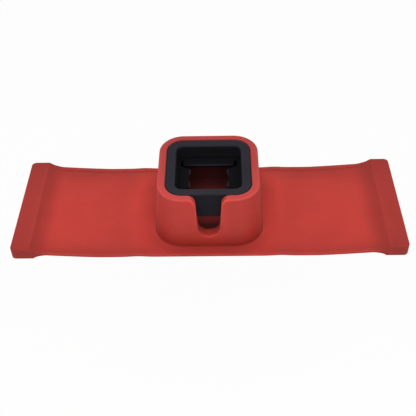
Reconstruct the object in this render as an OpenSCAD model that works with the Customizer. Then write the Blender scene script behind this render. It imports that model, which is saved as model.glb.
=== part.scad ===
// Drink holder for the arm of a sofa: a square silicone cup on a flexible strap whose
// ends are weighted, with a removable insert that grips cans and bottles.
// X runs along the strap, Y across it with the mug slot at -Y, and Z is up.
// The origin is on the surface that the strap lies on, under the middle of the cup.

/* [Strap] */
// Length over both end bars
strap_len = 430; // [400:2:460]
// Width over the two edge beads
strap_w = 145.5; // [136:0.5:160]
// Thickness of the web
web_t = 1.8; // [1.4:0.1:2.2]
// Thickness of the bead along each long edge
bead_t = 3; // [2.4:0.1:3.2]
// Width of the bead
bead_w = 6; // [4:0.5:9]
// Middle of the strap to the fold line beside the cup
inner_fold_x = 80; // [74:1:90]
// Middle of the strap to the fold line out along each wing
outer_fold_x = 128; // [120:1:140]
// Slope at which the outer part of a wing rises to its end bar, in degrees
wing_rise = 4.5; // [3:0.5:5]
// Air between the two parts that meet at a fold line
fold_gap = 0.3; // [0.2:0.05:0.5]

/* [Grip ribs] */
// Width of one rib under the strap
rib_w = 3; // [2:0.5:5]
// Spacing of the ribs
rib_pitch = 8; // [6:0.5:12]

/* [End bars] */
// Width of the flat top of an end bar
bar_top_w = 21; // [16:0.5:26]
// Height of an end bar
bar_h = 13.5; // [11:0.5:16]
// Amount by which a bar stands out past each edge of the strap
bar_overhang = 0.7; // [0:0.1:2]
// Length of the slope between the top of a bar and the strap
bar_slope_top = 16.5; // [12:0.5:20]
// Length of the slope between the underside of a bar and the strap
bar_slope_under = 14; // [10:0.5:16]
// Corner radius of a bar, seen from above
bar_corner_r = 5.5; // [2:0.5:7]
// Edge radius along the outer end of a bar
bar_edge_r = 1.2; // [0.5:0.1:2]

/* [Weights] */
// Length of the steel bar inside an end bar
weight_len = 130; // [100:1:132]
// Width of the steel bar
weight_w = 12; // [8:0.5:14]
// Height of the steel bar
weight_h = 6.5; // [4:0.5:8]
// Air left round the steel bar in its pocket
weight_gap = 0.2; // [0.1:0.05:0.3]

/* [Cup] */
// Outside width at the rim
cup_w = 110; // [102:1:118]
// Height of the rim above the surface under the strap
cup_h = 66.5; // [60:0.5:76]
// Outside corner radius at the rim
cup_corner_r = 27; // [25:0.5:30]
// Distance by which the foot stands out past the rim on each side
cup_draft = 4.4; // [2:0.2:6]
// Wall thickness at the rim
rim_wall = 8.4; // [7:0.1:9.5]
// Edge radius of the rim
rim_r = 2.2; // [1:0.1:3]
// Height of the cup's floor above the surface under the strap
floor_z = 7; // [5:0.5:10]
// Width of the ledge that carries the insert
ledge_w = 1.6; // [1:0.1:3]

/* [Mug slot] */
// Radius of the slot's round bottom
slot_r = 12.2; // [9:0.1:14]
// Height of the lowest point of the slot
slot_bottom_z = 16.4; // [12:0.2:20]
// Width of the slot where its mouth starts to flare
slot_mouth_w = 27.6; // [25:0.2:34]
// Radius of the flare at the slot's mouth
slot_flare_r = 9; // [5:0.5:10]
// Height by which the flare's round overshoots the rim, so that it meets it at a slight angle
slot_flare_over = 0.3; // [0.2:0.05:0.8]

/* [Insert] */
// Height of the insert
insert_h = 31.5; // [26:0.5:34]
// Width of the opening in the insert
opening_w = 71.7; // [68:0.1:74]
// Air between the insert and the cup
insert_gap = 0.3; // [0.2:0.05:0.5]
// Edge radius at the top of the opening
opening_edge_r = 2; // [1:0.1:3]
// Edge radius at the insert's outer top edge
insert_edge_r = 1; // [0.5:0.1:1.5]
// Chamfer round the insert's lower edge
insert_chamfer = 0.5; // [0.3:0.1:1.5]

/* [Grip flaps] */
// Depth of the flaps' upper face below the rim
flap_drop = 16.5; // [14:0.5:20]
// Thickness of a flap
flap_t = 2; // [1.6:0.1:2.4]
// Distance between the roots of two facing flaps
flap_root_gap = 60; // [58:0.2:62]
// Distance between the tips of the two side flaps
side_tip_gap = 40.4; // [38:0.2:44]
// Distance between the tips of the front and back flaps
wide_tip_gap = 43; // [42:0.2:46]
// Length of a side flap's root
side_flap_len = 40; // [36:0.5:41]
// Reach of the front and back flaps past the straight part of the opening, at each end
wide_flap_over = 1; // [0:0.1:1.4]
// Corner radius at the tip of the front and back flaps
wide_corner_r = 2; // [1:0.5:4]
// Radius of the hollow that blends the wall into the shoulder above the flaps
shoulder_fillet_r = 2.5; // [1:0.5:4]
// Radius of the two lobes at the tip of a side flap
lobe_r = 3.2; // [2:0.1:4]
// Middle of a side flap to the centre of each lobe
lobe_y = 12.8; // [11:0.2:14]
// Radius of the hollow between the lobes
hollow_r = 24.7; // [20:0.1:30]
// Depth of the hollow between the lobes
hollow_depth = 2.1; // [1:0.1:2.6]

/* [Hidden] */
$fn = 64;
RED = [0.72, 0.25, 0.24];
BLACK = [0.16, 0.16, 0.18];
STEEL = [0.66, 0.67, 0.69];
LEFT = -1;
RIGHT = 1;
PAST = 2; // how far a cutting shape runs past what it cuts
SINK = 0.5; // how deep one shape runs into the next inside a single piece

// Strap: everything lies about its mid-plane
mid_z = bead_t / 2;
web_top = mid_z + web_t / 2;
bead_y = strap_w / 2 - bead_w;
fold_end = bead_t / 2 + fold_gap;
bar_root_x = strap_len / 2 - bar_top_w - bar_slope_top;
wing_outer_run = bar_root_x - outer_fold_x;
root_mid_z = mid_z + wing_outer_run * tan(wing_rise);
bar_len = strap_w + 2 * bar_overhang;

// Cup: every rounded square has its corner arcs on the same four centres
corner = cup_w / 2 - cup_corner_r;
rim_out = cup_corner_r;
rim_in = rim_out - rim_wall;
ledge_in = rim_in - ledge_w;
ledge_z = cup_h - insert_h - insert_gap;

// Slot
slot_centre_z = slot_bottom_z + slot_r;
flare_z = cup_h - slot_flare_r + slot_flare_over;
flare_x = slot_mouth_w / 2 + slot_flare_r;

// Insert and flaps
insert_out = rim_in - insert_gap;
insert_in = opening_w / 2 - corner;
insert_bottom = cup_h - insert_h;
flap_top = cup_h - flap_drop;
flap_mid = flap_top - flap_t / 2;
root_x = flap_root_gap / 2;
side_tip = side_tip_gap / 2;
wide_tip = wide_tip_gap / 2;
shoulder_in = root_x + flap_t / 2 + fold_gap - corner;
wide_half = corner + wide_flap_over;
lobe_centre = [side_tip + lobe_r, lobe_y];

// Point where a line from p touches the circle of radius r about c, on its left side
function tangent_point(p, c, r) =
    let (d = p - c, turn = atan2(d.y, d.x) + acos(r / norm(d)))
    c + r * [cos(turn), sin(turn)];

// Sweeps a section once round a rounded square; its x is measured outward from the corner centres
module around_square() {
    for (turn = [0:90:270]) rotate(turn) {
        translate([corner, corner, 0]) rotate_extrude(angle = 90) children();
        translate([corner, corner, 0]) rotate([90, 0, 0]) linear_extrude(2 * corner) children();
    }
}

// Rounded square whose corner arcs have radius r
module rounded_square(r) {
    square([2 * corner, 2 * (corner + r)], center = true);
    square([2 * (corner + r), 2 * corner], center = true);
    for (x = [-corner, corner], y = [-corner, corner]) translate([x, y]) circle(r);
}

// Extrudes an outline drawn in X and Z evenly to both sides of the XZ plane
module across(width) {
    rotate([90, 0, 0]) linear_extrude(width, center = true) children();
}

// Draws a part of the right wing on either side of the cup
module on_side(side) {
    mirror([side == LEFT ? 1 : 0, 0, 0]) children();
}

// One stretch of strap that starts at x = 0 on its mid-plane
module strap_run(run, round_start) {
    module layer(thick) {
        translate([0, -thick / 2]) square([run, thick]);
        if (round_start) circle(thick / 2);
    }
    across(strap_w - 2 * bead_w + 2 * SINK) layer(web_t);
    for (side = [-1, 1])
        translate([0, side * (strap_w - bead_w) / 2, 0]) across(bead_w) layer(bead_t);
}

// Low ribs under the web, level with the undersides of the beads
module grip_ribs(first_x, last_x) {
    for (x = [first_x:rib_pitch:last_x])
        translate([x - rib_w / 2, -bead_y - SINK, 0])
            cube([rib_w, 2 * (bead_y + SINK), mid_z]);
}

module strap_centre() {
    half = inner_fold_x - fold_end;
    rib_run = floor((half - rib_w) / rib_pitch) * rib_pitch;
    color(RED) {
        translate([-half, 0, mid_z]) strap_run(2 * half, false);
        grip_ribs(-rib_run, rib_run);
    }
}

module strap_inner(side) {
    color(RED) on_side(side) {
        translate([inner_fold_x, 0, mid_z])
            strap_run(outer_fold_x - fold_end - inner_fold_x, true);
        grip_ribs(inner_fold_x + rib_pitch, outer_fold_x - rib_pitch);
    }
}

module strap_outer(side) {
    color(RED) on_side(side)
        translate([outer_fold_x, 0, mid_z]) rotate([0, -wing_rise, 0])
            strap_run(wing_outer_run / cos(wing_rise) - mid_z * tan(wing_rise), true);
}

// Section of an end bar: a rounded block that hollows out into the strap above and below
module bar_section() {
    end_x = strap_len / 2;
    block_x = end_x - bar_top_w;
    top_z = root_mid_z + bead_t / 2;
    under_z = root_mid_z - bead_t / 2;
    rise = bar_h - top_z;
    top_r = (bar_slope_top * bar_slope_top + rise * rise) / (2 * rise);
    under_r = (bar_slope_under * bar_slope_under + under_z * under_z) / (2 * under_z);
    difference() {
        union() {
            translate([bar_root_x, 0]) square([end_x - bar_edge_r - bar_root_x, bar_h]);
            translate([end_x - 2 * bar_edge_r, bar_edge_r])
                square([2 * bar_edge_r, bar_h - 2 * bar_edge_r]);
            for (z = [bar_edge_r, bar_h - bar_edge_r])
                translate([end_x - bar_edge_r, z]) circle(bar_edge_r);
        }
        intersection() {
            translate([bar_root_x, top_z + top_r]) circle(top_r);
            translate([bar_root_x - PAST, top_z]) square([block_x + PAST - bar_root_x, bar_h]);
        }
        intersection() {
            translate([bar_root_x, under_z - under_r]) circle(under_r);
            translate([bar_root_x - PAST, under_z - bar_h]) square([bar_slope_under + PAST, bar_h]);
        }
    }
}

// Outline of an end bar from above, with its two outer corners rounded
module bar_plan() {
    end_x = strap_len / 2;
    corner_y = bar_len / 2 - bar_corner_r;
    translate([bar_root_x, -bar_len / 2]) square([end_x - bar_corner_r - bar_root_x, bar_len]);
    translate([end_x - 2 * bar_corner_r, -corner_y]) square([2 * bar_corner_r, 2 * corner_y]);
    for (y = [-corner_y, corner_y]) translate([end_x - bar_corner_r, y]) circle(bar_corner_r);
}

// Box of the steel bar, grown by a clearance on every side
module weight_box(grow) {
    centre_x = (strap_len - bar_top_w) / 2;
    translate([centre_x, 0, bar_h / 2])
        cube([weight_w + 2 * grow, weight_len + 2 * grow, weight_h + 2 * grow], center = true);
}

module end_bar(side) {
    color(RED) on_side(side) difference() {
        intersection() {
            across(bar_len) bar_section();
            linear_extrude(bar_h) bar_plan();
        }
        weight_box(weight_gap);
    }
}

module weight(side) {
    color(STEEL) on_side(side) weight_box(0);
}

// Section of the cup's wall, with a rounded rim and the ledge for the insert
module cup_wall_section() {
    rim_z = cup_h - rim_r;
    polygon([
        [rim_out + cup_draft, web_top], [rim_out, rim_z],
        [rim_out - rim_r, rim_z], [rim_out - rim_r, cup_h],
        [rim_in + rim_r, cup_h], [rim_in + rim_r, rim_z],
        [rim_in, rim_z], [rim_in, ledge_z], [ledge_in, ledge_z], [ledge_in, web_top]]);
    for (x = [rim_out - rim_r, rim_in + rim_r]) translate([x, rim_z]) circle(rim_r);
}

// Outline of the mug slot: round bottom, leaning sides and a flared mouth
module slot_outline() {
    half_mouth = slot_mouth_w / 2;
    translate([0, slot_centre_z]) circle(slot_r);
    polygon([
        [-slot_r, slot_centre_z], [slot_r, slot_centre_z],
        [half_mouth, flare_z], [-half_mouth, flare_z]]);
    difference() {
        translate([-flare_x, flare_z]) square([2 * flare_x, cup_h + PAST - flare_z]);
        for (x = [-flare_x, flare_x]) translate([x, flare_z]) circle(slot_flare_r);
    }
}

module cup_housing() {
    wall_reach = rim_out + cup_draft;
    color(RED) difference() {
        union() {
            around_square() cup_wall_section();
            translate([0, 0, web_top])
                linear_extrude(floor_z - web_top) rounded_square(ledge_in + rim_wall / 2);
        }
        translate([0, -corner - (ledge_in + wall_reach) / 2, 0])
            across(wall_reach - ledge_in + 2 * PAST) slot_outline();
    }
}

// Section of the insert's ring, with the shoulder that carries the flaps
module insert_section() {
    fillet_x = insert_in - shoulder_fillet_r;
    fillet_z = flap_top + shoulder_fillet_r;
    difference() {
        union() {
            polygon([
                [insert_out - insert_chamfer, insert_bottom],
                [insert_out, insert_bottom + insert_chamfer],
                [insert_out, cup_h - insert_edge_r],
                [insert_out - insert_edge_r, cup_h - insert_edge_r],
                [insert_out - insert_edge_r, cup_h], [insert_in + opening_edge_r, cup_h],
                [insert_in + opening_edge_r, cup_h - opening_edge_r],
                [insert_in, cup_h - opening_edge_r],
                [insert_in, fillet_z], [fillet_x, flap_top], [shoulder_in, flap_top],
                [shoulder_in, flap_top - flap_t], [insert_in, flap_top - flap_t],
                [insert_in, insert_bottom]]);
            translate([insert_out - insert_edge_r, cup_h - insert_edge_r]) circle(insert_edge_r);
            translate([insert_in + opening_edge_r, cup_h - opening_edge_r]) circle(opening_edge_r);
        }
        translate([fillet_x, fillet_z]) circle(shoulder_fillet_r);
    }
}

module insert_frame() {
    color(BLACK) around_square() insert_section();
}

// Outline of a side flap at +X: a root line, slanting sides, two lobes and a hollow between them
module side_flap_outline() {
    root_end = [root_x, side_flap_len / 2];
    touch = tangent_point(root_end, lobe_centre, lobe_r);
    difference() {
        union() {
            polygon([
                root_end, touch, [side_tip, lobe_y],
                [side_tip, -lobe_y], [touch.x, -touch.y], [root_end.x, -root_end.y]]);
            for (y = [-lobe_y, lobe_y]) translate([lobe_centre.x, y]) circle(lobe_r);
        }
        translate([side_tip + hollow_depth - hollow_r, 0]) circle(hollow_r);
    }
}

// Outline of a front or back flap, drawn at +X: a straight tongue with two rounded corners
module wide_flap_outline() {
    round_x = wide_tip + wide_corner_r;
    round_y = wide_half - wide_corner_r;
    translate([round_x, -wide_half]) square([root_x - round_x, 2 * wide_half]);
    translate([wide_tip, -round_y]) square([2 * wide_corner_r, 2 * round_y]);
    for (y = [-round_y, round_y]) translate([round_x, y]) circle(wide_corner_r);
}

// One flap with the outline that is given, its root rounded along the line it bends at
module grip_flap(turn, root_len) {
    color(BLACK) rotate(turn) {
        translate([0, 0, flap_top - flap_t]) linear_extrude(flap_t) children();
        translate([root_x, 0, flap_mid]) across(root_len) circle(flap_t / 2);
    }
}

cup_housing();
strap_centre();
strap_inner(LEFT);  // strap_inner_left
strap_inner(RIGHT);  // strap_inner_right
strap_outer(LEFT);  // strap_outer_left
strap_outer(RIGHT);  // strap_outer_right
end_bar(LEFT);  // end_bar_left
end_bar(RIGHT);  // end_bar_right
weight(LEFT);  // weight_left
weight(RIGHT);  // weight_right
insert_frame();
grip_flap(0, side_flap_len) side_flap_outline();  // grip_flap_right
grip_flap(90, 2 * corner) wide_flap_outline();  // grip_flap_back
grip_flap(180, side_flap_len) side_flap_outline();  // grip_flap_left
grip_flap(270, 2 * corner) wide_flap_outline();  // grip_flap_front
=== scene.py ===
"""A silicone drink holder for the arm of a sofa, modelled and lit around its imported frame."""
import math

import bmesh
import bpy
import numpy as np
from mathutils import Matrix, Vector


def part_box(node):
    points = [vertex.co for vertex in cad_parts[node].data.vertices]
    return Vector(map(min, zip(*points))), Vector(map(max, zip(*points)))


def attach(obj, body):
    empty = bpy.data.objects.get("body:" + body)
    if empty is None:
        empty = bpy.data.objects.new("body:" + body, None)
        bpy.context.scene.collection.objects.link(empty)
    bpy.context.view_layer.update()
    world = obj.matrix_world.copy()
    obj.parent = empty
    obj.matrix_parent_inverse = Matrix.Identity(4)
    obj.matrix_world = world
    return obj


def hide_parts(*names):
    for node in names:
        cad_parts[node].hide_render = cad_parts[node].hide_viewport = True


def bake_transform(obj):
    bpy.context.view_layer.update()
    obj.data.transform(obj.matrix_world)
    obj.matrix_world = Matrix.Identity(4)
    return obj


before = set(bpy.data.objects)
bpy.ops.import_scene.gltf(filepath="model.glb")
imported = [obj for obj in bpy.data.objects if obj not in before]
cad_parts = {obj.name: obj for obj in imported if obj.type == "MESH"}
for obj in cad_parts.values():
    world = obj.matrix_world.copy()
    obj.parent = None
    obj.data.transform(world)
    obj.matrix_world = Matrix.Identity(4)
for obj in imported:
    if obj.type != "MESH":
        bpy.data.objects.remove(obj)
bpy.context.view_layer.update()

MM = 0.001
scene = bpy.context.scene

# ---------------------------------------------------------------- sizes, in metres

# Strap
_, centre_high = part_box("strap_centre")
_, root_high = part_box("strap_outer_right")
bar_low, bar_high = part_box("end_bar_right")
BAR_ROOT = bar_low.x
STRAP_HALF = centre_high.y
STRAP_EDGE_R = 1.1 * MM
BEAD_RISE = centre_high.z / 2  # from the strap's middle surface to the top of the bead
BEAD_W = 5.4 * MM
BEAD_STEP_W = 1.2 * MM  # the bead steps down to the web over this width
WEB_RISE = 0.9 * MM
WEB_SINK = BEAD_RISE - WEB_RISE  # from the bead down to the web, which a rib fills
MID_Z = BEAD_RISE
ROOT_MID = root_high.z - BEAD_RISE  # height of the middle surface at the root of a bar
RISE_START = 118 * MM
RISE_POWER = 1.25
GROOVE_Y = STRAP_HALF - BEAD_W
GROOVE_HALF = 0.8 * MM
GROOVE_DEPTH = 0.5 * MM
RIB_PITCH = 8 * MM
RIB_END = 124 * MM
RIB_FLANK = (0.2, 0.8)  # the part of the wave along the strap that makes a rib's flank
HUMP_X = 78 * MM
HUMP_W = 11 * MM
HUMP_RISE = 0.9 * MM
STATION_STEP = RIB_PITCH / 6  # from one drawn section of the strap to the next
SEAM_X = 13 * RIB_PITCH  # where a wing's two stretches meet, between its two folds

# End bars
END_X = bar_high.x
BAR_HALF = bar_high.y
BAR_TOP = bar_high.z
RIDGE_X = END_X - 21 * MM
BAR_SLOPE_POWER = 2.4
BAR_RIDGE_SOFT = 0.15 * MM
BAR_UNDER_RUN = 15 * MM
BAR_UNDER_POWER = 3.2
BAR_EDGE_R = 0.9 * MM
BAR_END_R = 0.8 * MM
BAR_CORNER_R = 5.5 * MM
BAR_WIDENS = (BAR_ROOT - 2 * MM, BAR_ROOT + 8 * MM)  # the strap widens to the bar between these
WEB_FADES = (BAR_ROOT - 16 * MM, BAR_ROOT + 6 * MM)  # the web and grooves run out between these

# Cup
cup_low, cup_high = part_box("cup_housing")
insert_low, insert_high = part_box("insert_frame")
CORNER = 28 * MM  # every rounded square has its corner arcs on the same four centres
INSERT_GAP = 0.3 * MM
RIM_WALL = 8.4 * MM  # width of the rim; the wall widens from there to the foot
LEDGE_W = 1.6 * MM
FLOOR_Z = 7 * MM
FLOOR_FILLET = 2.5 * MM
RIM_R = 1.8 * MM
RIM_INNER_R = 0.8 * MM
RIM_Z = cup_high.z
FOOT_Z = cup_low.z
FOOT_OUT = cup_high.x - CORNER
RIM_IN = insert_high.x - CORNER + INSERT_GAP
RIM_OUT = RIM_IN + RIM_WALL
LEDGE_IN = RIM_IN - LEDGE_W
LEDGE_Z = insert_low.z - INSERT_GAP
FOOT_BEAD = 0.8 * MM
FOOT_BEAD_H = 0.4 * MM
FOOT_BEAD_LINE = (  # how far out and up, in shares of the bead's width and height
    (1, -1), (1, 0.3), (0.85, 0.7), (0.5, 0.95), (0.1, 1.2))
FOOT_SINK = 0.5 * MM  # the foot reaches this far into the strap

# Mug slot
SLOT_R = 12.2 * MM
SLOT_BOTTOM_Z = 16.4 * MM
FLARE_R = 9 * MM
FLARE_X = 22.8 * MM  # from the slot's middle to the centre of the flare's round

# Insert
OPENING_HALF = 35.85 * MM
INSERT_OUT = insert_high.x - CORNER
INSERT_IN = OPENING_HALF - CORNER
INSERT_BOTTOM = insert_low.z
INSERT_EDGE_R = 1.2 * MM
OPENING_EDGE_R = 2 * MM
INSERT_CHAMFER = 0.5 * MM

# Flaps
side_low, side_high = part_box("grip_flap_right")
wide_low, wide_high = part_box("grip_flap_back")
FLAP_T = 2 * MM
FLAP_EDGE_R = 0.7 * MM
FLAP_TOP = side_high.z
FLAP_MIDDLE = FLAP_TOP - FLAP_T / 2
FLAP_ROOT = side_high.x - FLAP_T / 2
SHOULDER = FLAP_ROOT + FLAP_T / 2 + INSERT_GAP
SHOULDER_FILLET = 2.5 * MM
SIDE_HALF = side_high.y
SIDE_TIP = side_low.x
WIDE_HALF = wide_high.x
WIDE_TIP = wide_low.y
WIDE_CORNER_R = 2 * MM
LOBE_R = 3.2 * MM
LOBE_Y = 12.8 * MM
HOLLOW_HALF = 11 * MM
HOLLOW_DEPTH = 2.1 * MM
FLAP_ROWS = (0, 0.15, 0.3, 0.45, 0.6, 0.72, 0.82, 0.9, 0.94, 0.97, 0.99, 1)  # root to tip
FLAP_SIDES = (-0.99, -0.97, 0.97, 0.99)  # rows across a flap have extra points near both ends

# Stage
FLOOR_DROP = 160 * MM  # the floor is low enough for the wings to hang
FLOOR_SIZE = 12

# ---------------------------------------------------------------- tones: painted light and shade, as factors of a colour

# Strap: painted light and shade, darker towards both long edges, at places in millimetres along Y
STRAP_TONES = (
    (-73, 0.84), (-70, 0.81), (-66, 0.78), (-60, 0.87), (-52, 0.95),
    (-30, 1), (20, 1), (45, 0.92), (58, 0.76), (66, 0.74))
# Painted light on the strap beside the cup, at places along Y
GLOW_TONES = ((-60, 0.07), (-40, 0.02), (-20, 0.03), (0, 0.08), (20, 0.13), (40, 0.17), (55, 0.27))
GLOW_OUT = 20 * MM  # the strap is lightest at this distance from the cup's foot
GLOW_W = 12 * MM
# Painted shadow of the cup on the strip of strap before it
FRONT_SHADE = 0.16
# Painted shade along the grooves
GROOVE_SHADE = 0.2
BACK_GROOVE_SHADE = 0.12  # how much darker, wider and further in the back groove's line is
BACK_GROOVE_WIDER = 0.8
BACK_GROOVE_SHIFT = 1 * MM
# Bars: darker than the web, with painted shade towards their ends and a painted highlight along the
# ridge
BAR_TONE = 0.71
BAR_SHADE = 0.1  # a bar is this much darker at BAR_SHADE_Y from its middle
BAR_SHADE_Y = 60 * MM
RIDGE_SHINE = 0.1
RIDGE_SHINE_X = RIDGE_X + 1.2 * MM
RIDGE_SHINE_W = 1.5 * MM

# Cup: painted shade on the wall, darker low down, at heights in millimetres, and painted light on
# the rim, lightest at the front, at places along Y
WALL_TONES = ((3, 0.5), (6, 0.62), (8, 0.68), (15, 0.79), (25, 0.87), (35, 0.93), (50, 0.97))
RIM_TONES = ((-45, 1.04), (0, 0.85), (45, 0.77))
# Painted shade on the right of the wall, painted highlights on the rounded edges and the slot's
# sides, and painted shade on the slot's sill
RIGHT_SHADE = 0.04
EDGE_SHINE = 0.12
SLOT_SHINE = 0.1
SLOT_SIDE_SHINE = 0.25
SILL_SHADE = 0.25
# Painted shade inside the cup, and a painted pool of light on its floor
INSIDE_TONE = 0.11
POOL_TONE = 0.8  # a pool of light lies on the cup's floor, nearer to its front end
POOL_Y = -18 * MM
POOL_SIDES, POOL_FRONT, POOL_BACK = 30 * MM, 9 * MM, 33 * MM
# Painted red bounce light: less green and blue at the foot and low on the sides
FOOT_RED_BOUNCE = 0.7
SIDE_RED_BOUNCE = 0.5
GREEN_TINTS = (1.2, 0.25, 0.3)  # in the painted shade inside the cup, lost in the painted red bounce and gained in the painted highlight on the crest
BLUE_TINTS = (1.5, 0.45, 0.55)

# Insert: painted light on the ring's top at places along Y, and painted shade on its inside at
# heights above the flaps
RING_TONES = ((-44, 0.78), (-30, 0.71), (-10, 0.64))
# Painted shade on the ring's outer edge and on its outer side
RING_EDGE_SHADE = 0.5
RING_OUTER_TONE = 0.42
RING_BACK_TONES = ((0, 0.12), (0.3, 0.04), (1, 0.06), (2.5, 0.3), (5, 0.29), (8, 0.27))
RING_SIDE_TONES = ((0, 0.1), (2, 0.13), (8, 0.2))

# Flaps: a painted highlight on the tip's middle, painted shade on the rest, and how much darker the
# tip's highlight is at its two ends
SIDE_FLAP_TONES = (0.65, 0.11, 0)
WIDE_FLAP_TONES = (0.6, 0.12, 0.85)
FLAP_TIP_W = 2.5 * MM

# ---------------------------------------------------------------- helpers

SHARP_ANGLE = math.radians(40)  # faces that meet at more than this have a crisp edge
WELD = 1e-6  # vertices closer than this become one
SLIVER = 1e-7  # edges shorter than this are dissolved
NO_LENGTH = 1e-18  # smallest square of a length that a division gets


def smooth(low, high, value):
    """0 below low, 1 above high, and an even ramp between them."""
    t = np.clip((value - low) / (high - low), 0, 1)
    return t * t * (3 - 2 * t)


def bell(value, middle, width):
    """1 at the middle, 0.37 at one width to either side and 0 far away."""
    return np.exp(-(((value - middle) / width) ** 2))


def mix(first, second, share):
    """The first value where the share is 0, and the second where it is 1."""
    return first + (second - first) * share


def read_off(table, value):
    """Reads a value in metres off a table of millimetres and tones, straight between its stops."""
    stops, tones = np.transpose(table)
    return np.interp(value, MM * stops, tones)


def reach_of(places):
    """Distance outward from the square that joins the four corner centres, seen from above."""
    return np.linalg.norm(np.maximum(np.abs(places[:, :2]) - CORNER, 0), axis=1)


def make_piece(name, vertices, faces, material, tone):
    """A smooth mesh object with crisp sharp edges and, at each vertex, the tone of its place:
    painted light and shade.

    A tone is one factor for the whole colour, or three for its red, green and blue.
    """
    mesh = bpy.data.meshes.new(name)
    mesh.from_pydata([tuple(v) for v in vertices], [], faces)
    body = bmesh.new()
    body.from_mesh(mesh)
    bmesh.ops.remove_doubles(body, verts=body.verts, dist=WELD)
    bmesh.ops.dissolve_degenerate(body, edges=body.edges, dist=SLIVER)
    bmesh.ops.recalc_face_normals(body, faces=body.faces)
    body.to_mesh(mesh)
    body.free()
    mesh.shade_smooth()
    mesh.set_sharp_from_angle(angle=SHARP_ANGLE)
    mesh.materials.append(material)
    places = np.array([v.co for v in mesh.vertices], float)
    factors = np.empty((len(places), 3), np.float32)
    factors[:] = tone(places).reshape(len(places), -1)
    attribute = mesh.attributes.new("tone", "FLOAT_VECTOR", "POINT")
    attribute.data.foreach_set("vector", factors.ravel())
    piece = bpy.data.objects.new(name, mesh)
    scene.collection.objects.link(piece)
    return piece


def grid_faces(rows, columns, wrap_rows=False, wrap_columns=False):
    """The quads of a grid of rows times columns of vertices."""
    faces = []
    for i in range(rows if wrap_rows else rows - 1):
        for j in range(columns if wrap_columns else columns - 1):
            i2, j2 = (i + 1) % rows, (j + 1) % columns
            faces.append((
                i * columns + j, i * columns + j2, i2 * columns + j2, i2 * columns + j))
    return faces


# ---------------------------------------------------------------- strap and end bars


def strap_middle(a):
    """Height of the strap's middle surface at the distance a from the cup's middle."""
    hump = HUMP_RISE * bell(a, HUMP_X, HUMP_W)
    run = max(a - RISE_START, 0) / (BAR_ROOT - RISE_START)
    return MID_Z + hump + (ROOT_MID - MID_Z) * run**RISE_POWER


def strap_heights(a):
    """Heights of the top and underside along the bead, and on through the end bar."""
    middle = strap_middle(a)
    if a <= BAR_ROOT:
        return middle + BEAD_RISE, middle - BEAD_RISE
    climb = (a - BAR_ROOT) / (RIDGE_X - BAR_ROOT)
    rise = BAR_TOP - strap_middle(RIDGE_X) - BEAD_RISE
    slope = middle + BEAD_RISE + rise * climb**BAR_SLOPE_POWER
    soft = BAR_RIDGE_SOFT
    top = -soft * np.log(np.exp(-slope / soft) + np.exp(-BAR_TOP / soft))  # rounds the ridge
    drop = (a - BAR_ROOT) / BAR_UNDER_RUN
    under = strap_middle(BAR_ROOT) - BEAD_RISE - ROOT_MID * drop**BAR_UNDER_POWER
    return top, max(under, 0)


def strap_stops():
    """Distances from the middle line at which the strap is drawn, closest at the groove."""
    return np.concatenate([
        np.linspace(0, GROOVE_Y - 4 * GROOVE_HALF, 8),
        GROOVE_Y + GROOVE_HALF * np.linspace(-3, 3, 15),
        [(GROOVE_Y + STRAP_HALF) / 2 + GROOVE_HALF]])


def round_loss(radius, past):
    """How far a quarter round of that radius has curved in, once it is so far past its start."""
    past = min(max(past, 0), radius)
    return radius - math.sqrt(radius**2 - past**2)


def strap_section(a):
    """Half of the outline across the strap: (y, z) from the top's middle to the underside's."""
    into_bar = float(smooth(*BAR_WIDENS, a))
    plain = 1 - float(smooth(*WEB_FADES, a))
    half = mix(STRAP_HALF, BAR_HALF, into_bar)
    half -= round_loss(BAR_CORNER_R, a - END_X + BAR_CORNER_R)
    inset = round_loss(BAR_END_R, a - END_X + BAR_END_R)
    top, under = strap_heights(a)
    edge_r = mix(STRAP_EDGE_R, BAR_EDGE_R, into_bar)
    flat_end = half - edge_r
    wave = 0.5 + 0.5 * math.cos(2 * math.pi * a / RIB_PITCH)
    rib = WEB_SINK * float(smooth(*RIB_FLANK, wave)) if a < RIB_END else 0.0

    def outline(stops, face, sink, depth):
        y = np.minimum(stops, flat_end)
        web = 1 - smooth(GROOVE_Y, GROOVE_Y + BEAD_STEP_W, y)
        dip = bell(y, GROOVE_Y, GROOVE_HALF)
        return y, face - plain * (sink * web + depth * dip)

    # The top, a rounded edge and the underside, which is drawn upside down at a third of the stops
    stops = np.append(strap_stops(), flat_end)
    upper = outline(stops, top - inset, WEB_SINK, GROOVE_DEPTH)
    lower = outline(stops[::-3], -under - inset, WEB_SINK - rib, 0.0)
    points = list(zip(*upper))
    for turn in np.radians(np.linspace(15, 90, 6)):
        drop = edge_r * (1 - math.cos(turn))
        points.append((flat_end + edge_r * math.sin(turn), upper[1][-1] - drop))
    for turn in np.radians(np.linspace(90, 0, 7)):
        climb = edge_r * (1 - math.cos(turn))
        points.append((flat_end + edge_r * math.sin(turn), climb - lower[1][0]))
    points += [(y, -z) for y, z in zip(*lower)][1:]
    return points + [(0.0, points[-1][1])] if points[-1][0] > 0 else points


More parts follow.
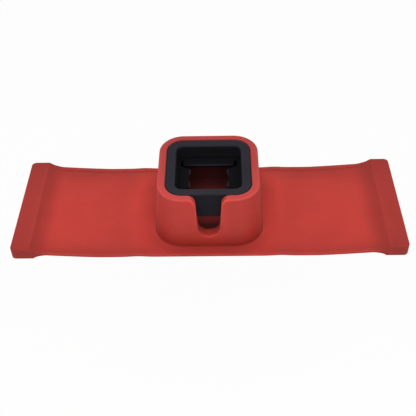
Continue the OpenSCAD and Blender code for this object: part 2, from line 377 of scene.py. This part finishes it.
def strap_tone(places):
    """Painted light and shade: the web is lighter than its edges, the grooves, the strip before the
    cup and the bars.
    """
    a, y = np.abs(places[:, 0]), places[:, 1]
    from_cup = reach_of(places) - FOOT_OUT
    # Painted light beside the cup, a painted shadow on the strip before it and painted shade in the
    # grooves
    cup_side_light = 1 + read_off(GLOW_TONES, y) * bell(from_cup, GLOW_OUT, GLOW_W)
    cup_shadow = (1 - smooth(-50 * MM, -30 * MM, y)) * (1 - smooth(6 * MM, 16 * MM, from_cup))
    behind = smooth(0, 40 * MM, y)
    in_groove = bell(
        np.abs(y), GROOVE_Y - BACK_GROOVE_SHIFT * behind,
        GROOVE_HALF * (1 + BACK_GROOVE_WIDER * behind))
    line = 1 - (GROOVE_SHADE + BACK_GROOVE_SHADE * behind) * in_groove
    web = cup_side_light * (1 - FRONT_SHADE * cup_shadow) * read_off(STRAP_TONES, y) * line
    # A painted highlight along each bar's ridge
    ridge = 1 + RIDGE_SHINE * bell(a, RIDGE_SHINE_X, RIDGE_SHINE_W)
    bar = BAR_TONE * (1 - BAR_SHADE * (y / BAR_SHADE_Y) ** 2) * ridge
    return mix(web, bar, smooth(BAR_ROOT - 8 * MM, RIDGE_X - 4 * MM, a))


def outer_stations():
    """Distances from the cup's middle at which a wing's outer stretch and its bar are drawn."""
    corner = END_X - BAR_CORNER_R
    return np.concatenate([
        np.arange(SEAM_X, BAR_ROOT, STATION_STEP),
        np.linspace(BAR_ROOT, RIDGE_X - 1.5 * MM, 13),
        RIDGE_X + MM * np.array([-0.9, -0.5, -0.2, 0, 0.2, 0.5, 0.9]),
        np.linspace(RIDGE_X + 3 * MM, corner - 1 * MM, 5),
        corner + BAR_CORNER_R * np.sin(np.linspace(0, math.pi / 2, 16))])


def make_stretch(name, side, stations, material):
    """A closed stretch of the strap, with one section at each of its stations."""
    vertices = []
    for a in stations:
        half = strap_section(a)
        section = half + [(-y, z) for y, z in half[-2:0:-1]]
        vertices += [(side * a, y, z) for y, z in section]
    count = len(section)
    faces = grid_faces(len(stations), count, wrap_columns=True)
    faces += [tuple(range(count)), tuple(range(len(vertices) - count, len(vertices)))]
    return make_piece(name, vertices, faces, material, strap_tone)


def make_strap(material):
    """Two stretches beside the cup, and two outer ones that end in the weighted bars."""
    inner = np.arange(0, SEAM_X + STATION_STEP / 2, STATION_STEP)
    outer = outer_stations()
    for side, word in ((-1, "left"), (1, "right")):
        for kind, stations, parent, nodes in (
                ("wing", inner, "base", (f"strap_inner_{word}", "strap_centre")),
                ("end", outer, f"{word}_wing", (f"strap_outer_{word}", f"end_bar_{word}"))):
            piece = make_stretch(f"strap_{kind}_{word}", side, stations, material)
            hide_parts(*nodes)
            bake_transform(piece)


# ---------------------------------------------------------------- cup


def perimeter(corner_steps=16, side_steps=10, skip_front=False):
    """Centres and outward directions round the rounded squares, from the front side's right end."""
    stops = []
    for quarter in range(4):
        start = math.radians(-90 + 90 * quarter)
        centre = Vector((CORNER, -CORNER)) if quarter == 0 else stops[-1][0]
        for k in range(corner_steps + 1):
            turn = start + math.radians(90) * k / corner_steps
            stops.append((centre.copy(), Vector((math.cos(turn), math.sin(turn)))))
        along = Vector((-math.sin(turn), math.cos(turn)))
        last = quarter == 3
        if last and skip_front:
            break
        for k in range(1, side_steps + (0 if last else 1)):
            stops.append((centre + along * (2 * CORNER * k / side_steps), stops[-1][1].copy()))
    return stops


def slot_edge():
    """The rim along the front side, from left to right: (x, z, outward x, outward z)."""
    low = Vector((0, SLOT_BOTTOM_Z + SLOT_R))
    high = Vector((-FLARE_X, RIM_Z - FLARE_R))
    gap = low - high
    lean = math.asin((FLARE_R + SLOT_R) / gap.length) - math.atan2(gap.y, gap.x)
    side_turn = math.pi / 2 - lean  # from the flare's centre to where the straight side starts
    points = [(x, RIM_Z, 0.0, 1.0) for x in np.linspace(-CORNER, high.x, 5)[1:-1]]
    for turn in np.linspace(math.pi / 2, side_turn, 14):
        n = Vector((math.cos(turn), math.sin(turn)))
        points.append((*(high + FLARE_R * n), *n))
    side_top = Vector(points[-1][:2])
    side_low = low - SLOT_R * n
    for share in np.linspace(0, 1, 14)[1:-1]:
        points.append((*side_top.lerp(side_low, share), *n))
    for turn in np.linspace(side_turn + math.pi, 1.5 * math.pi, 13):
        out = Vector((math.cos(turn), math.sin(turn)))
        points.append((*(low + SLOT_R * out), *-out))
    return points + [(-x, z, -nx, nz) for x, z, nx, nz in points[-2::-1]]


def cup_columns():
    """For each column of the wall: how it places a point (along, reach, z), its rim and foot."""
    def corner_place(centre, out):
        return lambda along, reach, z: (*(centre + out * reach), z)

    def front_place(along, reach, z):
        return along, -CORNER - reach, z

    columns = []
    for centre, out in perimeter(skip_front=True):
        columns.append((corner_place(centre, out), (0.0, RIM_Z, 0.0, 1.0), 0.0))
    edge = slot_edge()
    path = np.array([(-CORNER, RIM_Z), *[point[:2] for point in edge], (CORNER, RIM_Z)])
    stretches = np.linalg.norm(np.diff(path, axis=0), axis=1)
    length = np.concatenate([[0], np.cumsum(stretches)])
    for point, run in zip(edge, length[1:-1]):
        columns.append((front_place, point, CORNER * (2 * run / length[-1] - 1)))
    return columns


def reach_out(z):
    """Outside of the cup's drafted wall at the height z, from the corner centres."""
    return RIM_OUT + (FOOT_OUT - RIM_OUT) * (RIM_Z - z) / (RIM_Z - FOOT_Z)


def wall_profile(place, rim, foot):
    """One column of the cup, from the underside's middle over the rim to the floor's middle."""
    x, z, nx, nz = rim
    points = []

    def put(along, reach, height):
        points.append(place(along, reach, height))

    def turn_over(reach_at, sign, radius, turns):
        for turn in turns:
            back = radius * (1 - math.sin(turn))
            height = z - back * nz
            put(x - back * nx, reach_at(height) - sign * radius * (1 - math.cos(turn)), height)

    # Underside and the bead round the foot
    low = FOOT_Z - FOOT_SINK
    base = place(foot, FOOT_OUT + FOOT_BEAD, low)
    for share in (0, 0.5, 0.9):
        points.append((base[0] * share, base[1] * share, low))
    for out, up in FOOT_BEAD_LINE:
        put(foot, FOOT_OUT + FOOT_BEAD * out, FOOT_Z + FOOT_BEAD_H * up)

    # Outside of the wall, and over the rim
    start, end_x, end_z = FOOT_Z + 1.5 * FOOT_BEAD_H, x - RIM_R * nx, z - RIM_R * nz
    for share in np.linspace(0, 1, 13)[:-1]:
        height = mix(start, end_z, share)
        put(mix(foot, end_x, share), reach_out(height), height)
    quarter = np.linspace(0, math.pi / 2, 7)
    turn_over(reach_out, 1, RIM_R, quarter)
    reach_in = RIM_IN if end_z > LEDGE_Z else LEDGE_IN
    for share in (0.25, 0.5, 0.75):
        put(x, mix(reach_out(z) - RIM_R, reach_in + RIM_INNER_R, share), z)
    turn_over(lambda height: reach_in, -1, RIM_INNER_R, quarter[::-1])

    # Inside of the wall, by way of the ledge to the floor
    end_x, end_z = x - RIM_INNER_R * nx, z - RIM_INNER_R * nz
    ledge = min(LEDGE_Z, end_z)

    def inner_x(height):
        return foot + (end_x - foot) * (height - FLOOR_Z) / (end_z - FLOOR_Z)

    for share in np.linspace(0, 1, 8)[1:]:
        height = mix(end_z, ledge, share)
        put(inner_x(height), reach_in, height)
    fillet_top = FLOOR_Z + FLOOR_FILLET
    for share in np.linspace(0, 1, 6):
        height = mix(ledge, fillet_top, share)
        put(inner_x(height), LEDGE_IN, height)
    for turn in quarter[1:]:
        reach = LEDGE_IN - FLOOR_FILLET * (1 - math.cos(turn))
        height = fillet_top - FLOOR_FILLET * math.sin(turn)
        put(inner_x(height), reach, height)
    base = points[-1]
    for share in (tenths / 10 for tenths in range(9, -1, -1)):
        points.append((base[0] * share, base[1] * share, FLOOR_Z))
    return points


def cup_tone(places):
    """Painted light and shade: the wall is darker and redder low down, its edges and rim are light,
    the inside is dark.
    """
    x, y, z = places.T
    reach = reach_of(places)
    depth = reach_out(z) - reach
    in_slot = (1 - smooth(16 * MM, 22 * MM, np.abs(x))) * (y < 0)
    out = smooth(RIM_IN - 0.8 * MM, RIM_IN + 1.2 * MM, reach)

    # Outside: painted shade low on the wall, a painted highlight on the rim's crest and the rounded
    # edges, and painted shade on the slot's sill
    wall = read_off(WALL_TONES, z) * (1 - RIGHT_SHADE * smooth(0, 30 * MM, x))
    crest = smooth(RIM_Z - 2 * MM, RIM_Z - 0.4 * MM, z)
    edge = smooth(-0.1 * MM, 0.4 * MM, depth) * (1 - smooth(1.2 * MM, 2.4 * MM, depth))
    slot_side = smooth(SLOT_BOTTOM_Z + 4 * MM, SLOT_BOTTOM_Z + 12 * MM, z)
    shine = EDGE_SHINE + in_slot * (SLOT_SHINE + SLOT_SIDE_SHINE * slot_side)
    sill = 1 - SILL_SHADE * in_slot * smooth(4 * MM, 10 * MM, depth)
    outside = (mix(wall, read_off(RIM_TONES, y), crest) + shine * edge) * sill

    # Inside: painted shade, apart from a painted pool of light on the floor
    pool_length = np.where(y > POOL_Y, POOL_BACK, POOL_FRONT)
    pool = bell(x, 0, POOL_SIDES) * bell(y, POOL_Y, pool_length) * (z < FLOOR_Z + 2 * MM)
    tone = mix(INSIDE_TONE + POOL_TONE * pool, outside, out)

    # Green and blue against red: less in the painted red bounce at the foot and low on the sides,
    # more in the painted highlight on the crest
    red_bounce = FOOT_RED_BOUNCE * (1 - smooth(8 * MM, 26 * MM, z))
    at_side = smooth(38 * MM, 50 * MM, np.abs(x)) * (1 - smooth(20 * MM, 60 * MM, z))
    red_bounce += SIDE_RED_BOUNCE * at_side
    green, blue = (
        mix(inside, 1 - lost * red_bounce + gained * crest, out)
        for inside, lost, gained in (GREEN_TINTS, BLUE_TINTS))
    return np.stack([tone, tone * green, tone * blue], axis=1)


def make_cup(material):
    """The square cup with its drafted wall, rounded rim, mug slot and ledge for the insert."""
    profiles = [wall_profile(*column) for column in cup_columns()]
    vertices = [point for profile in profiles for point in profile]
    faces = grid_faces(len(profiles), len(profiles[0]), wrap_rows=True)
    cup = make_piece("cup_shell", vertices, faces, material, cup_tone)
    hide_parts("cup_housing")
    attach(cup, "base")


# ---------------------------------------------------------------- insert and flaps


def arc(centre_reach, centre_z, radius, start, end, steps=6):
    """Points (reach, z) on an arc, its angles in degrees from the outward direction."""
    turns = np.radians(np.linspace(start, end, steps + 1))
    return [(centre_reach + radius * math.cos(t), centre_z + radius * math.sin(t)) for t in turns]


def insert_tone(places):
    """Painted light and shade: the ring's flat top is lightest at the front, and its inside is
    darkest at the shoulder.
    """
    y, z = places[:, 1], places[:, 2]
    reach = reach_of(places)
    at_edge = smooth(INSERT_OUT - 1.1 * MM, INSERT_OUT - 0.2 * MM, reach)
    top = read_off(RING_TONES, y) * (1 - RING_EDGE_SHADE * at_edge)
    rise = z - FLAP_TOP
    at_back = smooth(24 * MM, 34 * MM, y)
    inner = mix(read_off(RING_SIDE_TONES, rise), read_off(RING_BACK_TONES, rise), at_back)
    side = np.where(reach > (INSERT_IN + INSERT_OUT) / 2, RING_OUTER_TONE, inner)
    return mix(side, top, smooth(RIM_Z - 3 * MM, RIM_Z - 0.5 * MM, z))


def make_insert(material):
    """The black ring that fills the cup's mouth, with the shoulder that carries the flaps."""
    shoulder = SHOULDER - CORNER
    flap_under = FLAP_TOP - FLAP_T
    profile = [
        (INSERT_OUT - INSERT_CHAMFER, INSERT_BOTTOM),
        (INSERT_OUT, INSERT_BOTTOM + INSERT_CHAMFER),
        *[(INSERT_OUT, mix(INSERT_BOTTOM, RIM_Z, share)) for share in (0.3, 0.6, 0.9)],
        *arc(INSERT_OUT - INSERT_EDGE_R, RIM_Z - INSERT_EDGE_R, INSERT_EDGE_R, 0, 90),
        *[(mix(INSERT_OUT, INSERT_IN, share), RIM_Z) for share in (0.15, 0.35, 0.55, 0.75)],
        *arc(INSERT_IN + OPENING_EDGE_R, RIM_Z - OPENING_EDGE_R, OPENING_EDGE_R, 90, 180),
        *[(INSERT_IN, RIM_Z - drop * MM) for drop in (4, 7, 10, 12)],
        *arc(INSERT_IN - SHOULDER_FILLET, FLAP_TOP + SHOULDER_FILLET, SHOULDER_FILLET, 0, -90),
        (shoulder, FLAP_TOP),
        (shoulder, flap_under),
        (INSERT_IN, flap_under),
        (INSERT_IN, INSERT_BOTTOM)]
    stops = perimeter()
    vertices = [(*(centre + out * reach), z) for centre, out in stops for reach, z in profile]
    faces = grid_faces(len(stops), len(profile), wrap_rows=True, wrap_columns=True)
    ring = make_piece("insert_ring", vertices, faces, material, insert_tone)
    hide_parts("insert_frame")
    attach(ring, "insert")


def mirrored(half):
    """A line of points (x, y) from -Y to +Y, given its half from the middle on."""
    return np.array([(x, -y) for x, y in half[:0:-1]] + half)


def side_tip():
    """The edge at the tip of a side flap: two lobes with a hollow between them."""
    lobe = Vector((SIDE_TIP + LOBE_R, LOBE_Y))
    away = Vector((FLAP_ROOT, SIDE_HALF)) - lobe
    touch = math.atan2(away.y, away.x) + math.acos(LOBE_R / away.length)
    middle = [
        (SIDE_TIP + HOLLOW_DEPTH * max(math.cos(math.pi * y / (2 * HOLLOW_HALF)), 0) ** 2, y)
        for y in np.linspace(0, HOLLOW_HALF, 12)]
    return mirrored(middle + [
        (lobe.x + LOBE_R * math.cos(turn), lobe.y + LOBE_R * math.sin(turn))
        for turn in np.linspace(math.pi, touch, 9)])


def wide_tip():
    """The edge at the tip of the front or back flap: straight, with two rounded corners."""
    r = WIDE_CORNER_R
    flat = [(WIDE_TIP, y) for y in np.linspace(0, WIDE_HALF - r, 12)]
    return mirrored(flat + [
        (WIDE_TIP + r * (1 - math.cos(turn)), WIDE_HALF - r * (1 - math.sin(turn)))
        for turn in np.linspace(0, math.pi / 2, 8)[1:]])


def flap_rows(tip, half):
    """Rows of points from the flap's root to its tip, seen from above, for the flap at +X."""
    shares = np.linspace(-1, 1, len(tip))
    edge = np.unique(np.concatenate([shares, FLAP_SIDES]))
    tip = np.stack([np.interp(edge, shares, tip[:, axis]) for axis in (0, 1)], 1)
    root = np.stack([np.full(len(edge), FLAP_ROOT), edge * half], 1)
    rows = mix(root, tip, np.array(FLAP_ROWS)[:, None, None])
    shoulder = root + (SHOULDER - FLAP_ROOT, 0)
    return np.concatenate([shoulder[None], rows])


def distance_to_line(points, line):
    """Shortest distance from each point to a line of straight stretches."""
    best = np.full(points.shape[:-1], np.inf)
    for a, b in zip(line[:-1], line[1:]):
        along = b - a
        share = np.clip(((points - a) @ along) / max(along @ along, NO_LENGTH), 0, 1)
        best = np.minimum(best, np.linalg.norm(points - a - share[..., None] * along, axis=-1))
    return best


def sheet_faces(rows, columns):
    """The faces of a closed sheet: a grid, the same grid under it and the border between them."""
    count = rows * columns
    faces = grid_faces(rows, columns)
    faces += [tuple(count + i for i in reversed(face)) for face in faces]
    border = list(range(columns)) + [i * columns + columns - 1 for i in range(1, rows)]
    border += [count - 1 - j for j in range(1, columns)]
    border += [i * columns for i in range(rows - 2, 0, -1)]
    faces += [(a, b, count + b, count + a) for a, b in zip(border, border[1:] + border[:1])]
    return faces


def make_flap(word, turn, tip, half, tones, material):
    """One grip flap, moulded in one with the shoulder."""
    rows = flap_rows(tip, half)
    free_edge = np.concatenate([rows[:, 0], rows[-1], rows[::-1, -1]])
    depth = np.minimum(distance_to_line(rows, free_edge), FLAP_EDGE_R)
    rise = FLAP_T / 2 - FLAP_EDGE_R + np.sqrt(FLAP_EDGE_R**2 - (FLAP_EDGE_R - depth) ** 2)
    rise[:2, 1:-1] = FLAP_T / 2
    count, across = rows.shape[:2]
    angle = math.radians(turn)
    spin = Matrix.Rotation(angle, 3, "Z")
    vertices = [
        spin @ Vector((*rows[i, j], FLAP_MIDDLE + sign * rise[i, j]))
        for sign in (1, -1) for i in range(count) for j in range(across)]
    out = Vector((math.cos(angle), math.sin(angle), 0))
    # Painted highlight along the tip, darker towards its ends, and painted shade on the rest of the
    # flap
    tip_tone, plate_tone, end_shade = tones

    def tone(places):
        reach = places @ np.array(out)
        off_middle = np.linalg.norm(places[:, :2], axis=1) ** 2 - reach**2
        at_tip = tip_tone * (1 - end_shade * off_middle / half**2)
        return mix(at_tip, plate_tone, smooth(0, FLAP_TIP_W, reach - tip[:, 0].min()))

    flap = make_piece(f"grip_tab_{word}", vertices, sheet_faces(count, across), material, tone)
    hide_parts(f"grip_flap_{word}")
    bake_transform(flap)


# ---------------------------------------------------------------- materials


def node_adder(tree):
    """Empties a node tree and returns a helper that adds a node with its inputs and settings."""
    tree.nodes.clear()

    def add(kind, inputs, **settings):
        node = tree.nodes.new(kind)
        for key, value in settings.items():
            setattr(node, key, value)
        for key, value in inputs.items():
            if isinstance(value, bpy.types.NodeSocket):
                tree.links.new(value, node.inputs[key])
            else:
                node.inputs[key].default_value = value
        return node

    return add


def new_material(name, surface):
    """A material whose surface is made by a function of the helper that adds nodes."""
    material = bpy.data.materials.new(name)
    material.use_nodes = True
    add = node_adder(material.node_tree)
    add("ShaderNodeOutputMaterial", {"Surface": surface(add).outputs[0]})
    return material


def noise(add, place, scale, detail=3.0):
    """Noise at so many features per metre, as a socket from 0 to 1."""
    inputs = {"Vector": place, "Scale": scale, "Detail": detail}
    return add("ShaderNodeTexNoise", inputs).outputs["Fac"]


def ramp(add, value, low, high):
    """A socket from 0 to 1 turned into one from low to high."""
    return add("ShaderNodeMapRange", {"Value": value, "To Min": low, "To Max": high}).outputs[0]


def maths(add, operation, first, second):
    """The result of an operation on two numbers or sockets."""
    return add("ShaderNodeMath", {0: first, 1: second}, operation=operation).outputs[0]


def bump(add, height, strength, distance, **under):
    """A bumped normal, on top of the one under it if there is one."""
    inputs = {"Height": height, "Strength": strength, "Distance": distance, **under}
    return add("ShaderNodeBump", inputs).outputs[0]


def mix_colour(add, factor, first, second):
    """Blends two colours by a factor socket."""
    node = add("ShaderNodeValToRGB", {"Fac": factor})
    for element, place, colour in zip(node.color_ramp.elements, (0.3, 0.7), (first, second)):
        element.position = place
        element.color = (*colour, 1)
    return node.outputs["Color"]


DEEP_MATTE = 0.5  # how much rougher the silicone is where its tone is 0
UNEVEN = 0.05  # how far the roughness and the grain go to either side
MOTTLING, DULL_PATCHES, GRAIN = 26, 60, 900  # features per metre, as are the next two
SOFT_DENTS, FINE_TEXTURE = 45, 2600


def silicone(name, deep, light, roughness, specular, sheen):
    """Moulded silicone: soft mottling, a fine grain and the tone of painted light and shade, which
    also makes it matte.
    """
    def surface(add):
        place = add("ShaderNodeTexCoord", {}).outputs["Object"]
        tone = add("ShaderNodeAttribute", {}, attribute_name="tone").outputs
        colour = mix_colour(add, noise(add, place, MOTTLING), deep, light)
        grain = ramp(add, noise(add, place, GRAIN, 2.0), 1 - UNEVEN, 1 + UNEVEN)
        grainy = add("ShaderNodeVectorMath", {0: colour, "Scale": grain}, operation="SCALE")
        factors = {0: grainy.outputs[0], 1: tone["Vector"]}
        toned = add("ShaderNodeVectorMath", factors, operation="MULTIPLY")
        darkness = ramp(add, tone["Fac"], 1.0, 0.0)
        matte = maths(add, "MULTIPLY", darkness, maths(add, "MULTIPLY", darkness, DEEP_MATTE))
        patches = noise(add, place, DULL_PATCHES)
        uneven = ramp(add, patches, roughness - UNEVEN, roughness + UNEVEN)
        texture = noise(add, place, FINE_TEXTURE, 2.0)
        fine = bump(add, texture, strength=0.12, distance=0.2 * MM)
        dents = noise(add, place, SOFT_DENTS, 1.0)
        soft = bump(add, dents, strength=0.15, distance=1 * MM, Normal=fine)
        return add("ShaderNodeBsdfPrincipled", {
            "Base Color": toned.outputs[0],
            "Roughness": maths(add, "ADD", uneven, matte),
            "Specular IOR Level": specular,
            "Sheen Weight": sheen,
            "Sheen Roughness": 0.5,
            "Normal": soft})
    return new_material(name, surface)


def steel(name):
    """Plain cut steel bar with fine lengthwise scratches."""
    def surface(add):
        place = add("ShaderNodeTexCoord", {}).outputs["Object"]
        streaks = add("ShaderNodeMapping", {"Vector": place, "Scale": (900, 30, 900)}).outputs[0]
        lines = noise(add, streaks, 1.0)
        return add("ShaderNodeBsdfPrincipled", {
            "Base Color": mix_colour(add, lines, (0.36, 0.37, 0.38), (0.5, 0.51, 0.52)),
            "Roughness": ramp(add, lines, 0.3, 0.5),
            "Metallic": 1.0})
    return new_material(name, surface)


# ---------------------------------------------------------------- camera, light and floor


def make_camera(place, pitch, yaw, roll, lens):
    """A camera that looks down by the pitch, turned by the yaw from +Y; angles in degrees."""
    data = bpy.data.cameras.new("camera")
    data.sensor_width = 36
    data.lens = lens
    data.clip_end = 50
    camera = bpy.data.objects.new("camera", data)
    scene.collection.objects.link(camera)
    pitch, yaw, roll = (math.radians(angle) for angle in (pitch, yaw, roll))
    forward = Vector((
        math.sin(yaw) * math.cos(pitch), math.cos(yaw) * math.cos(pitch), -math.sin(pitch)))
    right = Vector((math.cos(yaw), -math.sin(yaw), 0))
    up = right.cross(forward)
    across = math.cos(roll) * right + math.sin(roll) * up
    upward = math.cos(roll) * up - math.sin(roll) * right
    turn = Matrix((across, upward, -forward)).transposed()
    camera.matrix_world = Matrix.Translation(place) @ turn.to_4x4()
    scene.camera = camera


def softbox(name, place, size, power):
    """A square studio light that faces the middle of the strap."""
    data = bpy.data.lights.new(name, "AREA")
    data.shape = "SQUARE"
    data.size = size
    data.energy = power
    light = bpy.data.objects.new(name, data)
    light.location = place
    light.rotation_euler = (-Vector(place)).to_track_quat("-Z", "Y").to_euler()
    scene.collection.objects.link(light)


def seen(add, strength):
    """A factor with this strength where the camera, a reflection or glass sees the surface."""
    path = add("ShaderNodeLightPath", {}).outputs
    total = path["Is Camera Ray"]
    for ray in ("Is Glossy Ray", "Is Transmission Ray"):
        total = maths(add, "MAXIMUM", total, path[ray])
    return maths(add, "MULTIPLY", total, strength)


def make_world(strength):
    """Even studio light all round, in front of a white background."""
    world = bpy.data.worlds.new("studio")
    world.use_nodes = True
    add = node_adder(world.node_tree)
    glow, white = (
        add("ShaderNodeBackground", {"Color": (1, 1, 1, 1), "Strength": value}).outputs[0]
        for value in (strength, 1.0))
    both = add("ShaderNodeMixShader", {0: seen(add, 1.0), 1: glow, 2: white})
    add("ShaderNodeOutputWorld", {"Surface": both.outputs[0]})
    scene.world = world


def make_floor(drop, grey, whiteness):
    """A grey floor that lights the object as such and looks nearly white, with a faint shadow."""
    def surface(add):
        matte = add("ShaderNodeBsdfDiffuse", {"Color": (grey, grey, grey, 1)}).outputs[0]
        white = add("ShaderNodeEmission", {"Strength": 1.0}).outputs[0]
        return add("ShaderNodeMixShader", {0: seen(add, whiteness), 1: matte, 2: white})
    bpy.ops.mesh.primitive_plane_add(size=FLOOR_SIZE, location=(0, 0, -drop))
    floor = bpy.context.object
    floor.name = "floor"
    floor.data.materials.append(new_material("floor_white", surface))


# ---------------------------------------------------------------- the scene

red = silicone(
    "red_silicone", deep=(0.490, 0.039, 0.029), light=(0.540, 0.044, 0.033),
    roughness=0.55, specular=0.2, sheen=0.05)
black = silicone(
    "black_silicone", deep=(0.022, 0.021, 0.029), light=(0.0295, 0.028, 0.0385),
    roughness=0.5, specular=0.09, sheen=0.0)
metal = steel("weight_steel")

make_strap(red)
make_cup(red)
make_insert(black)
for word, turn in (("right", 0), ("left", 180)):
    make_flap(word, turn, side_tip(), SIDE_HALF, SIDE_FLAP_TONES, black)
for word, turn in (("back", 90), ("front", 270)):
    make_flap(word, turn, wide_tip(), WIDE_HALF, WIDE_FLAP_TONES, black)
for word in ("left", "right"):
    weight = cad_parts[f"weight_{word}"]
    weight.data.materials.clear()
    weight.data.materials.append(metal)

make_camera((0.011883, -0.629887, 0.600554), pitch=43.446, yaw=-1.225, roll=-1.439, lens=65.303)
make_world(strength=0.25)
softbox("key", place=(0.0, -0.8, 1.15), size=1.2, power=15)
softbox("left", place=(-1.1, 0.35, 1.0), size=0.9, power=5)
softbox("right", place=(1.1, 0.35, 1.0), size=0.9, power=4.4)
make_floor(FLOOR_DROP, grey=0.9, whiteness=0.95)

scene.view_settings.view_transform = "Standard"
